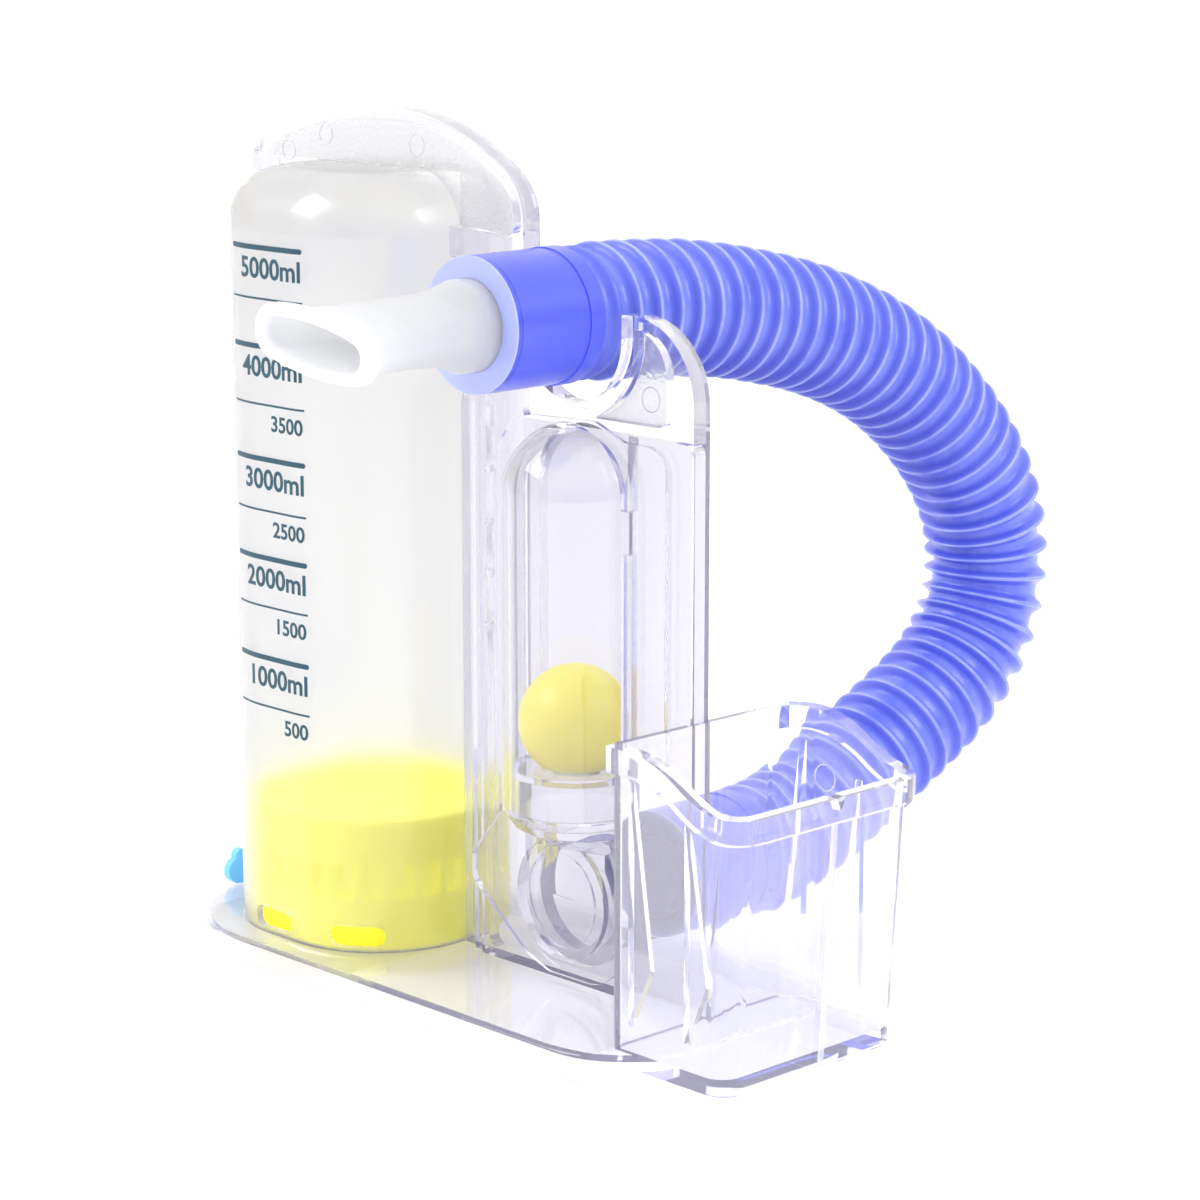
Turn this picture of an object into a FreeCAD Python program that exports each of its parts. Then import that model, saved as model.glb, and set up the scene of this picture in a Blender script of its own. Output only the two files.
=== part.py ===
import FreeCAD, Part
import math
import os

# Volumetric incentive spirometer, modelled in millimetres.
# X runs along the base from the volume chamber to the accessory bin, Y runs
# from the front of the device to its back, and Z is up. The two clear halves
# of the housing meet on the plane Y = 0.
# The origin is the middle of the housing's footprint, on the table.

Vector = FreeCAD.Vector

# Stations along the base, measured from its left end
chamber_station = 48.0
flange_reach = 7.6
tube_station = 122.5
column_station = 161.4
bin_foot_station = 196.0
bin_rim_station = 200.0
base_main_length = 175.0

# Base tray
base_half_depth = 40.0
base_nose_flat = 0.1
base_right_radius = 24.0
base_height = 7.3
base_edge_round = 1.6
lobe_foot = 0.6
lobe_foot_height = 4.2

# Clear wall of both halves
wall = 1.8
chamber_wall = 1.7
tube_wall = 2.2

# Volume chamber
chamber_width = 66.0
chamber_depth = 65.0
chamber_corner = 27.0
chamber_top = 194.5
chamber_dome = 14.0
vent_width = 14.0
vent_height = 5.3
vent_centre_height = 11.2
vent_angles = (-96.0, -51.0)

# Flat sandwich panel that carries the chamber, the flow tube and the handle
panel_front = 5.0
panel_back = 2.0
panel_back_inset = 1.8
flange_half_thickness = 1.5
flange_top = 184.0
rim_width = 3.0
web_thickness = 1.8
web_corner = 3.0
web_shoulder = 5.5
web_side_border = 6.6

# Crown of the handle arch, as (station, height, radius) from its left end
flange_station = chamber_station - chamber_width / 2.0 - flange_reach
crown = (
    (flange_station, 198.4, 9.0),
    (24.5, 205.2, 90.0),
    (43.5, 209.0, 100.0),
    (69.1, 209.0, 75.0),
    (86.2, 204.4, 56.0),
)
crown_right_height = 193.2
crown_right_radius = 14.0

# Groove between the chamber and the strip with the detent marks
groove_width = 5.6
groove_ledge = 4.0
groove_ledge_depth = 3.6
groove_top = 163.0

# Cradle that holds the breathing hose
cradle_radius = 16.1
cradle_height = 161.4
horn_top = 166.8
horn_radius = 19.0
horn_ridge = 4.0
horn_border = 8.4
horn_web_bottom = 142.6

# Flow tube, its ball and the seat of the ball
tube_depth = 4.0
ball_radius = 13.35
ball_clearance = 1.65
seat_top = 60.2
seat_height = 10.2
seat_plate = 2.1
seat_hole_radius = 8.0
seat_skirt = 1.6
seat_fit = 0.05
ledge_width = 1.5
tube_end_height = 124.0
tube_window_height = 10.0
tube_window_bottom = 112.0

# Funnel and round boss at the foot of the tube, with the hose port behind
port_height = 28.4
boss_radius = 14.7
boss_rise = 4.1
boss_recess = 1.0
boss_recess_radius = 11.5
funnel_half_depth = 7.0
funnel_offset = 2.0
funnel_bottom = 41.0
bowl_height = 45.5
bowl_shrink = 0.7
bowl_half_depth = 13.6
bowl_offset = 3.5
port_face = 21.7
port_tip = 39.5
port_radius = 10.9
port_wall = 1.6

# Low raised pad round the flow channel
pad_rise = 1.1
pad_left = 24.0
pad_right = 31.1
pad_foot = 17.8
pad_foot_bottom = 8.6
pad_foot_top = 34.0
pad_wide_bottom = 44.0
pad_tail = 34.0
pad_tail_bottom = 26.0
pad_tail_top = 33.0
pad_slope_bottom = 11.5
pad_slope_left = 15.0
pad_shoulder = 138.2
pad_top = 142.0
pad_crown = 8.5
pad_round = 6.0

# Air gallery inside the panel, from the tube up to the chamber
gallery_left = 30.6
gallery_gap = 1.9
gallery_top = 177.0
gallery_column_top = 139.5
gallery_round = 2.5
gallery_port_bottom = 167.0
gallery_port_height = 8.0

# Detent marks on the strip between chamber and tube
detent_shift = 28.2
detent_first_height = 89.2
detent_pitch = 12.5
detent_count = 4
detent_radius = 1.1
detent_rise = 0.7
mark_seat = 0.5
detent_slot_length = 5.0

# Accessory bin at the right end
bin_front = 30.5
bin_back = 28.0
bin_front_radius = 6.0
bin_back_radius = 7.0
bin_left_radius = 3.0
bin_left_back_radius = 8.0
bin_overlap = 0.6
rim_high = 76.9
rim_low = 67.0
rim_slope_start = 6.0
rim_slope_end = 0.6
rim_band_height = 5.8
rim_proud = 2.0
rim_notch = 1.4
rim_notch_depth = 3.0
fin_thickness = 1.8
fin_depth = 6.4
fin_tip_depth = 0.4
fin_low_height = 24.5
fin_cut_height = 13.0
fins_at = ((4.4, 69.0), (21.6, 62.6))

# Piston
piston_clearance = 0.4
piston_rest_gap = 0.3
piston_skirt_top = 20.3
piston_waist_top = 28.4
piston_top = 39.6
piston_waist_depth = 2.6
piston_rib_count = 14
piston_rib_width = 1.8
piston_wall = 1.4
piston_dish = 3.0
piston_edge_round = 0.8

# Goal pointer on the left flange
pointer_height = 9.0
pointer_rest_gap = 0.4
pointer_wall = 1.7
pointer_clearance = 0.1
pointer_grip = 5.5
pointer_arm_reach = 15.5
pointer_arm_thickness = 2.2
pointer_arm_gap = 2.3
pointer_lobe_radius = 3.4
pointer_tip_radius = 1.9
pointer_tip_setback = 1.8

# Breathing hose with its two moulded cuffs
hose_radius = 15.7
hose_bore = 12.6
hose_axis_height = 165.7
cuff_length = 26.4
cuff_radius = 15.4
cuff_step = 0.3
cuff_bore = 10.2
cuff_step_length = 4.4
cuff_bore_clearance = 0.1
cuff_socket = 18.0
mouth_cuff_front = -35.7

# Mouthpiece
mouth_plug_radius = 10.4
mouth_plug_length = 15.0
mouth_plug_clearance = 0.08
mouth_wall = 1.3
mouth_collar = 4.3
mouth_throat_reach = 11.3
mouth_throat_half_width = 12.4
mouth_throat_half_height = 7.6
mouth_reach = 45.3
mouth_half_width = 17.8
mouth_half_height = 5.7
mouth_lip_length = 3.4
mouth_lip_proud = 1.4
mouth_end_radius = 4.6
mouth_throat_end_radius = 6.6
mouth_middle_rise = 0.6
mouth_lip_round = 0.6
mouth_overlap = 1.0
mouth_roll = 7.5

# Route of the hose, from the port to the mouth cuff, as (Y, Z) pairs.
# The hose lies in one plane behind the device.
hose_route = (
    (48.4, 28.4),
    (62.6, 28.4),
    (83.8, 36.8),
    (109.7, 48.3),
    (130.1, 59.1),
    (141.5, 73.4),
    (144.5, 91.5),
    (139.2, 108.2),
    (126.9, 124.5),
    (105.8, 141.9),
    (78.9, 154.2),
    (47.4, 161.8),
    (17.9, 165.7),
    (-9.3, 165.7),
)

# Places in the part's own frame, worked out from the sizes above
overall_length = bin_rim_station + rim_proud
left_end = -overall_length / 2.0
base_left_radius = base_half_depth - base_nose_flat
chamber_x = left_end + chamber_station
flange_x = left_end + flange_station
tube_x = left_end + tube_station
column_x = left_end + column_station
bin_foot_x = left_end + bin_foot_station
bin_rim_x = left_end + bin_rim_station
base_main_right = left_end + base_main_length
plate_underside = base_height - wall
chamber_right = chamber_x + chamber_width / 2.0
cradle_left = tube_x - cradle_radius
cradle_right = tube_x + cradle_radius
cradle_bottom = cradle_height - cradle_radius
tube_bore = ball_radius + ball_clearance
tube_radius = tube_bore + tube_wall
tube_y = -tube_depth
gap_front = wall - panel_front
ball_height = seat_top + math.sqrt(ball_radius ** 2 - seat_hole_radius ** 2)
seat_bottom = seat_top - seat_height
far = 400.0
overrun = 1.0
hair = 0.02


def rounded_wire(corners, place):
    """Closed outline of straight edges and tangent arcs. Each corner is (u, v, radius)."""
    stretches = []
    count = len(corners)
    for index in range(count):
        before = Vector(corners[index - 1][0], corners[index - 1][1], 0)
        corner = Vector(corners[index][0], corners[index][1], 0)
        after = Vector(corners[(index + 1) % count][0], corners[(index + 1) % count][1], 0)
        radius = corners[index][2]
        if radius <= 0:
            stretches.append((corner, None, corner))
            continue
        back = (before - corner).normalize()
        ahead = (after - corner).normalize()
        half_turn = back.getAngle(ahead) / 2.0
        setback = radius / math.tan(half_turn)
        inward = (back + ahead).normalize()
        middle = corner + inward * (radius / math.sin(half_turn) - radius)
        stretches.append((corner + back * setback, middle, corner + ahead * setback))
    edges = []
    for index in range(count):
        start, middle, end = stretches[index]
        if middle is not None:
            edges.append(Part.Arc(place(start), place(middle), place(end)).toShape())
        following = stretches[(index + 1) % count][0]
        if end.distanceToPoint(following) > 1e-6:
            edges.append(Part.LineSegment(place(end), place(following)).toShape())
    return Part.Wire(edges)


def inset(corners, distance):
    """The same outline moved inward by a distance. Corners run anticlockwise."""
    moved = []
    count = len(corners)
    for index in range(count):
        before = Vector(corners[index - 1][0], corners[index - 1][1], 0)
        corner = Vector(corners[index][0], corners[index][1], 0)
        after = Vector(corners[(index + 1) % count][0], corners[(index + 1) % count][1], 0)
        first = (corner - before).normalize()
        second = (after - corner).normalize()
        first_normal = Vector(-first.y, first.x, 0)
        second_normal = Vector(-second.y, second.x, 0)
        reach = distance / (1.0 + first_normal.dot(second_normal))
        place = corner + (first_normal + second_normal) * reach
        turn = first.x * second.y - first.y * second.x
        radius = corners[index][2]
        if radius > 0:
            radius = radius - distance if turn > 0 else radius + distance
        moved.append((place.x, place.y, max(radius, 0.0)))
    return moved


def upright_prism(corners, low, high):
    """Prism of a plan outline, between two heights."""
    wire = rounded_wire(corners, lambda point: Vector(point.x, point.y, low))
    return Part.Face(wire).extrude(Vector(0, 0, high - low))


def level_prism(corners, front, back):
    """Prism of an outline drawn in the X Z plane, between two Y values."""
    wire = rounded_wire(corners, lambda point: Vector(point.x, front, point.y))
    return Part.Face(wire).extrude(Vector(0, back - front, 0))


def block(low, high):
    """Box between two corners."""
    size = Vector(*high) - Vector(*low)
    return Part.makeBox(size.x, size.y, size.z, Vector(*low))


def rod_y(radius, x, z, front, back):
    """Cylinder along Y."""
    return Part.makeCylinder(radius, back - front, Vector(x, front, z), Vector(0, 1, 0))


def rod_z(radius, x, y, low, high):
    """Cylinder along Z."""
    return Part.makeCylinder(radius, high - low, Vector(x, y, low), Vector(0, 0, 1))


def rectangle(centre_x, half_x, half_y, radius):
    """Plan outline of a rounded rectangle about the seam plane."""
    return [
        (centre_x - half_x, -half_y, radius),
        (centre_x + half_x, -half_y, radius),
        (centre_x + half_x, half_y, radius),
        (centre_x - half_x, half_y, radius),
    ]


def top_edges(shape, height):
    """Edges of a prism that lie in its top face."""
    found = []
    for edge in shape.Edges:
        box = edge.BoundBox
        if abs(box.ZMin - height) < 1e-4 and abs(box.ZMax - height) < 1e-4:
            found.append(edge)
    return found


def base_outline():
    return [
        (left_end, -base_half_depth, base_left_radius),
        (base_main_right, -base_half_depth, base_right_radius),
        (base_main_right, base_half_depth, base_right_radius),
        (left_end, base_half_depth, base_left_radius),
    ]


def bin_outline(end_x):
    """Plan of the bin, whose end wall leans outward as it rises."""
    left = column_x - bin_overlap
    return [
        (left, -bin_front, bin_left_radius),
        (end_x, -bin_front, bin_front_radius),
        (end_x, bin_back, bin_back_radius),
        (left, bin_back, bin_left_back_radius),
    ]


def bin_prism(shrink, low, high):
    """The bin's outline, moved inward, between two heights."""
    lean = (bin_rim_x - bin_foot_x) / (rim_low - base_height)
    wires = []
    for height in (low, high):
        outline = inset(bin_outline(bin_foot_x + lean * (height - base_height)), shrink)
        wires.append(rounded_wire(outline, lambda point: Vector(point.x, point.y, height)))
    return Part.makeLoft(wires, True, True)


def lobe_outline():
    """Skirt below the bin."""
    inner = column_x - base_right_radius
    return [
        (inner, -bin_front, 0.0),
        (bin_foot_x + lobe_foot, -bin_front, bin_front_radius),
        (bin_foot_x + lobe_foot, bin_back, bin_back_radius),
        (inner, bin_back, 0.0),
    ]


def base_body():
    main = upright_prism(base_outline(), 0.0, base_height)
    main = main.makeFillet(base_edge_round, top_edges(main, base_height))
    lobe = upright_prism(lobe_outline(), 0.0, lobe_foot_height)
    return main.fuse(lobe)


def base_hollow():
    main = upright_prism(inset(base_outline(), wall), -1.0, plate_underside)
    lobe = upright_prism(inset(lobe_outline(), wall), -1.0, lobe_foot_height - wall / 2.0)
    return main.fuse(lobe)


def panel_outline():
    arch = [(left_end + station, height, radius) for station, height, radius in crown]
    right_leg = [
        (column_x, plate_underside, 0.0),
        (column_x, horn_top, horn_radius),
        (cradle_right, horn_top, 0.6),
        (cradle_right, cradle_bottom, cradle_radius - hair),
        (cradle_left, cradle_bottom, cradle_radius - hair),
        (cradle_left, crown_right_height, crown_right_radius),
    ]
    return [(flange_x, plate_underside, 0.0)] + right_leg + arch[::-1]


def panel_back_outline():
    """The back half sits just inside the outline of the front half."""
    outline = inset(panel_outline(), panel_back_inset)
    return [(x, plate_underside if index < 2 else z, r) for index, (x, z, r) in enumerate(outline)]


def handle_web_outline():
    """Sunk field inside the rim of the handle arch."""
    outline = inset(panel_outline(), rim_width)
    over, left = outline[-2], outline[-1]
    right = outline[6]
    side = flange_x + web_side_border
    slope = (over[1] - left[1]) / (over[0] - left[0])
    corners = [
        (side, flange_top + web_corner, web_corner),
        (right[0], flange_top - web_corner, web_corner),
    ]
    return corners + outline[6:-1] + [(side, left[1] + slope * (side - left[0]), web_shoulder)]


def horn_web():
    """Sunk field of the horn beside the cradle."""
    right = column_x - horn_border
    top = horn_top - rim_width
    corners = [
        (tube_x, horn_web_bottom, 0.0),
        (right, horn_web_bottom, web_corner),
        (right, top, horn_radius - horn_border),
        (tube_x, top, 0.0),
    ]
    field = level_prism(corners, -far, -web_thickness)
    ridge = rod_y(cradle_radius + horn_ridge, tube_x, cradle_height, -far, far)
    return field.cut(ridge)


def groove():
    """Stepped groove beside the chamber, on the front of the panel."""
    low = base_height
    start = chamber_right - chamber_wall
    edge = chamber_right + groove_width
    deep = block((start, -far, low), (edge, -web_thickness, groove_top))
    ledge = block((start, -far, low), (edge + groove_ledge, -groove_ledge_depth, groove_top))
    return deep.fuse(ledge)


def panel_body():
    front = level_prism(panel_outline(), -panel_front, 0.0)
    front = front.cut(level_prism(handle_web_outline(), -far, -web_thickness))
    front = front.cut([horn_web(), groove()])
    back = level_prism(panel_back_outline(), 0.0, panel_back)
    low = (flange_x - 1.0, -far, base_height)
    flange_front = block(low, (chamber_x, -flange_half_thickness, flange_top))
    flange_back = block((flange_x - 1.0, flange_half_thickness, base_height), (chamber_x, far, flange_top))
    return front.fuse(back).cut([flange_front, flange_back])


def pad_body():
    """Low raised field on the front, round the tube and the boss."""
    corners = [
        (tube_x - pad_tail, pad_tail_bottom, web_corner),
        (tube_x - pad_slope_left, pad_slope_bottom, pad_round),
        (tube_x - pad_slope_left / 2.0, pad_foot_bottom, pad_round),
        (tube_x + pad_foot, pad_foot_bottom, pad_round * 2.0),
        (tube_x + pad_foot, pad_foot_top, pad_round / 2.0),
        (tube_x + pad_right, pad_wide_bottom, pad_round),
        (tube_x + pad_right, pad_shoulder, pad_round),
        (tube_x + pad_foot, pad_shoulder, pad_round),
        (tube_x + pad_crown, pad_top, pad_round),
        (tube_x - pad_left, pad_top - pad_rise, pad_round * 2.0),
        (tube_x - pad_left, pad_wide_bottom, pad_round),
        (tube_x - pad_tail, pad_tail_top, web_corner),
    ]
    return level_prism(corners, -panel_front - pad_rise, -web_thickness)


def gallery_hollow():
    """Air space inside the panel, right of the chamber."""
    left = tube_x - gallery_left
    step = cradle_left - wall
    bottom = base_height + gallery_gap
    corners = [
        (left, bottom, gallery_round),
        (column_x - wall, bottom, gallery_round),
        (column_x - wall, gallery_column_top, gallery_round),
        (step, gallery_column_top, gallery_round),
        (step, gallery_top, gallery_round),
        (left, gallery_top, gallery_round),
    ]
    gallery = level_prism(corners, gap_front, 0.0)
    duct = [
        (tube_x - tube_radius, port_height - tube_radius, tube_radius - hair),
        (tube_x + tube_radius, port_height - tube_radius, tube_radius - hair),
        (tube_x + tube_radius, gallery_column_top + tube_radius, 0.0),
        (tube_x - tube_radius, gallery_column_top + tube_radius, 0.0),
    ]
    gallery = gallery.cut(level_prism(duct, -far, far))
    to_chamber = block(
        (chamber_right - chamber_wall * 2.0, gap_front, gallery_port_bottom),
        (left + gallery_round, 0.0, gallery_port_bottom + gallery_port_height),
    )
    to_tube = block(
        (tube_x + tube_bore - tube_wall, gap_front, tube_window_bottom),
        (tube_x + tube_radius + tube_wall, 0.0, tube_window_bottom + tube_window_height),
    )
    return gallery.fuse([to_chamber, to_tube])


def chamber_body(shrink, bottom):
    """Rounded square column with a domed top, or its hollow."""
    outline = inset(rectangle(chamber_x, chamber_width / 2.0, chamber_depth / 2.0, chamber_corner), shrink)
    column = upright_prism(outline, bottom, chamber_top - shrink)
    return column.makeFillet(chamber_dome - shrink / 2.0, top_edges(column, chamber_top - shrink))


def vent_cutters():
    """Rounded vent slots at the foot of the chamber, the same front and back."""
    cutters = []
    radius = vent_height / 2.0
    straight = vent_width / 2.0 - radius
    for angle in vent_angles:
        for mirror in (1.0, -1.0):
            middle = block((0.0, -straight, -radius), (chamber_width, straight, radius))
            ends = [
                Part.makeCylinder(radius, chamber_width, Vector(0, side * straight, 0), Vector(1, 0, 0))
                for side in (-1.0, 1.0)
            ]
            slot = middle.fuse(ends)
            slot.rotate(Vector(0, 0, 0), Vector(0, 0, 1), angle * mirror)
            slot.translate(Vector(chamber_x, 0, vent_centre_height))
            cutters.append(slot)
    return cutters


def ellipse_wire(centre, half_x, half_y):
    """Level ellipse, its larger half axis given first."""
    if half_x >= half_y:
        curve = Part.Ellipse(centre, half_x, half_y)
        return Part.Wire(curve.toShape())
    curve = Part.Ellipse(centre, half_y, half_x)
    shape = curve.toShape()
    shape.rotate(centre, Vector(0, 0, 1), 90)
    return Part.Wire(shape)


def tube_body(radius, shrink):
    """Flow tube with a domed end, and the bowl that flattens into the boss."""
    straight = rod_z(radius, tube_x, tube_y, seat_bottom - shrink, tube_end_height)
    dome = Part.makeSphere(radius, Vector(tube_x, tube_y, tube_end_height))
    throat = radius if shrink == 0 else radius - ledge_width
    ring = Part.Circle(Vector(tube_x, tube_y, seat_bottom), Vector(0, 0, 1), throat)
    upper = Part.Wire(ring.toShape())
    bowl_centre = Vector(tube_x, -bowl_offset, bowl_height)
    bowl = ellipse_wire(bowl_centre, tube_radius - bowl_shrink - shrink, bowl_half_depth - shrink)
    foot_centre = Vector(tube_x, -funnel_offset, funnel_bottom)
    lower = ellipse_wire(foot_centre, boss_radius - shrink, funnel_half_depth - shrink)
    funnel = Part.makeLoft([lower, bowl, upper], True, True)
    foot = Part.Face(lower).extrude(Vector(0, 0, port_height - funnel_bottom))
    return straight.fuse([dome, funnel, foot])


def port_body():
    """Round boss on the front and the hose port on the back."""
    face = -panel_front - boss_rise
    boss = rod_y(boss_radius, tube_x, port_height, face, port_face)
    spigot = rod_y(port_radius, tube_x, port_height, port_face - overrun, port_tip)
    return boss.fuse(spigot)


def boss_recess_cutter():
    """Shallow round recess in the front face of the boss."""
    face = -panel_front - boss_rise
    return rod_y(boss_recess_radius, tube_x, port_height, face - overrun, face + boss_recess)


def port_hollow():
    face = -panel_front - boss_rise + boss_recess + wall
    room = rod_y(boss_radius - wall, tube_x, port_height, face, port_face - wall)
    bore = rod_y(port_radius - port_wall, tube_x, port_height, face, port_tip + overrun)
    return room.fuse(bore)


def rim_cutter(drop):
    """Everything above the bin's swept rim line, lowered by a drop."""
    start = column_x + rim_slope_start
    end = bin_rim_x - rim_slope_end
    high = rim_high - drop
    low = rim_low - drop
    width = end - start
    height = high - low
    bend = (width ** 2 + height ** 2) / (4.0 * height)
    turn = math.asin(width / 2.0 / bend)
    upper_centre = Vector(start, 0, high - bend)
    lower_centre = Vector(end, 0, low + bend)
    waist = Vector((start + end) / 2.0, 0, (high + low) / 2.0)
    upper_middle = upper_centre + Vector(math.sin(turn / 2.0), 0, math.cos(turn / 2.0)) * bend
    lower_middle = lower_centre - Vector(math.sin(turn / 2.0), 0, math.cos(turn / 2.0)) * bend
    path = [Vector(column_x - far / 4.0, 0, high), Vector(start, 0, high)]
    tail = [Vector(end, 0, low), Vector(bin_rim_x + far / 4.0, 0, low)]
    edges = [
        Part.LineSegment(path[0], path[1]).toShape(),
        Part.Arc(path[1], upper_middle, waist).toShape(),
        Part.Arc(waist, lower_middle, tail[0]).toShape(),
        Part.LineSegment(tail[0], tail[1]).toShape(),
        Part.LineSegment(tail[1], Vector(tail[1].x, 0, far)).toShape(),
        Part.LineSegment(Vector(tail[1].x, 0, far), Vector(path[0].x, 0, far)).toShape(),
        Part.LineSegment(Vector(path[0].x, 0, far), path[0]).toShape(),
    ]
    face = Part.Face(Part.Wire(edges))
    face.translate(Vector(0, -far / 2.0, 0))
    return face.extrude(Vector(0, far, 0))


def bin_body():
    """Walls and swept rim band of the accessory bin, before it is hollowed."""
    above_rim = rim_cutter(0.0)
    walls = bin_prism(0.0, lobe_foot_height - wall / 2.0, rim_high + overrun).cut(above_rim)
    band = bin_prism(-rim_proud, rim_low - rim_band_height * 2.0, rim_high + overrun)
    band = band.common(rim_cutter(rim_band_height)).cut(above_rim)
    column_side = block((-far, -far, -far), (column_x, far, far))
    return walls.fuse(band.cut(column_side))


def bin_hollow():
    return bin_prism(wall, base_height, rim_high + overrun * 2.0)


def bin_fins():
    """Tapered stiffening fins that stand inside the front and back walls."""
    fins = []
    for shift, top in fins_at:
        x = column_x + shift
        for side, face in ((1.0, -bin_front + wall), (-1.0, bin_back - wall)):
            overlap = face - side * wall / 2.0
            points = [
                Vector(x, overlap, top),
                Vector(x, face + side * fin_tip_depth, top),
                Vector(x, face + side * fin_depth, fin_low_height),
                Vector(x, face, fin_cut_height),
                Vector(x, overlap, fin_cut_height),
            ]
            outline = Part.makePolygon(points + points[:1])
            fins.append(Part.Face(outline).extrude(Vector(fin_thickness, 0, 0)))
    return fins


def rim_notch_cutter():
    """Small V where the two halves of the rim meet at the end wall."""
    x = bin_rim_x - wall * 2.0
    points = [
        Vector(x, -rim_notch, far / 2.0),
        Vector(x, -rim_notch, rim_low),
        Vector(x, 0, rim_low - rim_notch_depth),
        Vector(x, rim_notch, rim_low),
        Vector(x, rim_notch, far / 2.0),
    ]
    outline = Part.makePolygon(points + points[:1])
    return Part.Face(outline).extrude(Vector(wall * 2.0 + rim_proud * 2.0, 0, 0))


def detent_marks():
    """Small raised marks up the strip, with a longer one at the top."""
    marks = []
    x = tube_x - detent_shift
    for index in range(detent_count):
        height = detent_first_height + detent_pitch * index
        marks.append(rod_y(detent_radius, x, height, -panel_front - detent_rise, gap_front - mark_seat))
    height = detent_first_height + detent_pitch * detent_count
    half = detent_slot_length / 2.0
    marks.append(
        block(
            (x - detent_radius, -panel_front - detent_rise, height - half),
            (x + detent_radius, gap_front - mark_seat, height + half),
        )
    )
    return marks


def housing():
    """Both clear halves as one hollow body, before the seam parts them."""
    outer = base_body().fuse([panel_body(), pad_body(), chamber_body(0.0, plate_underside)])
    outer = outer.fuse([tube_body(tube_radius, 0.0), port_body(), bin_body()] + detent_marks())
    hollows = [
        base_hollow(),
        chamber_body(chamber_wall, base_height),
        gallery_hollow(),
        tube_body(tube_bore, tube_wall),
        port_hollow(),
        bin_hollow(),
        rim_notch_cutter(),
        boss_recess_cutter(),
    ]
    shape = outer.cut(hollows + vent_cutters())
    return shape.fuse(bin_fins())


def piston():
    """Spool piston: a plain skirt, a ribbed waist and a plain upper band."""
    bottom = base_height + piston_rest_gap
    shrink = chamber_wall + piston_clearance
    outline = inset(rectangle(chamber_x, chamber_width / 2.0, chamber_depth / 2.0, chamber_corner), shrink)
    full = upright_prism(outline, bottom, piston_top)
    full = full.makeFillet(piston_edge_round, top_edges(full, piston_top))
    waist_high = block((-far, -far, piston_skirt_top), (far, far, piston_waist_top))
    core = upright_prism(inset(outline, piston_waist_depth), bottom, piston_top)
    ring = full.common(waist_high).cut(core)
    for index in range(piston_rib_count):
        rib = block(
            (-chamber_width, -piston_rib_width / 2.0, piston_skirt_top),
            (chamber_width, piston_rib_width / 2.0, piston_waist_top),
        )
        rib.rotate(Vector(0, 0, 0), Vector(0, 0, 1), 180.0 * index / piston_rib_count)
        rib.translate(Vector(chamber_x, 0, 0))
        ring = ring.cut(rib)
    inner = inset(outline, piston_waist_depth + piston_wall)
    under = upright_prism(inner, bottom - overrun, piston_top - piston_dish - piston_wall)
    dish = upright_prism(inner, piston_top - piston_dish, piston_top + overrun)
    return full.cut([ring, under, dish])


def flow_ball():
    return Part.makeSphere(ball_radius, Vector(tube_x, tube_y, ball_height))


def ball_seat():
    """Clear ring that the ball rests on, standing on the ledge of the tube."""
    radius = tube_bore - seat_fit
    ring = rod_z(radius, tube_x, tube_y, seat_bottom, seat_top)
    room = rod_z(radius - seat_skirt, tube_x, tube_y, seat_bottom - 1.0, seat_top - seat_plate)
    hole = rod_z(seat_hole_radius, tube_x, tube_y, seat_bottom, seat_top + overrun)
    return ring.cut([room, hole])


def goal_pointer():
    """Slider that straddles the left flange, with a lobed finger arm."""
    low = base_height + pointer_rest_gap
    high = low + pointer_height
    half = flange_half_thickness + pointer_clearance
    outer = flange_x - pointer_clearance
    arm_x = outer - pointer_arm_gap - pointer_arm_thickness
    grip = block(
        (arm_x, -half - pointer_wall, low),
        (flange_x + pointer_grip, half + pointer_wall, high),
    )
    grip = grip.cut(block((outer, -half, low - overrun), (far, half, high + overrun)))
    lobe_y = -pointer_arm_reach + pointer_lobe_radius
    tip_y = lobe_y + pointer_tip_setback - pointer_tip_radius + 1.0
    lobe_z = low + pointer_lobe_radius
    tip_z = high - pointer_tip_radius
    along = Vector(1, 0, 0)
    thickness = pointer_arm_thickness
    lobe = Part.makeCylinder(pointer_lobe_radius, thickness, Vector(arm_x, lobe_y, lobe_z), along)
    tip = Part.makeCylinder(pointer_tip_radius, thickness, Vector(arm_x, tip_y, tip_z), along)
    arm = block((arm_x, lobe_y, low), (arm_x + thickness, -half, low + 2.0 * pointer_lobe_radius))
    return grip.fuse([lobe, tip, arm])


def hose_path():
    """Centre line of the hose: straight runs joined by the largest tangent arcs."""
    points = [Vector(tube_x, y, z) for y, z in hose_route]
    edges = []
    last = points[0]
    for index in range(1, len(points) - 1):
        corner = points[index]
        back = points[index - 1] - corner
        ahead = points[index + 1] - corner
        shorter = min(back.Length, ahead.Length)
        half_turn = (math.pi - back.getAngle(ahead)) / 2.0
        setback = 0.45 * shorter
        radius = setback / math.tan(half_turn)
        start = corner + back.normalize() * setback
        end = corner + ahead.normalize() * setback
        inward = (back + ahead).normalize()
        middle = corner + inward * (radius / math.cos(half_turn) - radius)
        edges.append(Part.LineSegment(last, start).toShape())
        edges.append(Part.Arc(start, middle, end).toShape())
        print("hose bend", index, "radius", round(radius, 1))
        last = end
    edges.append(Part.LineSegment(last, points[-1]).toShape())
    return Part.Wire(edges)


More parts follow.
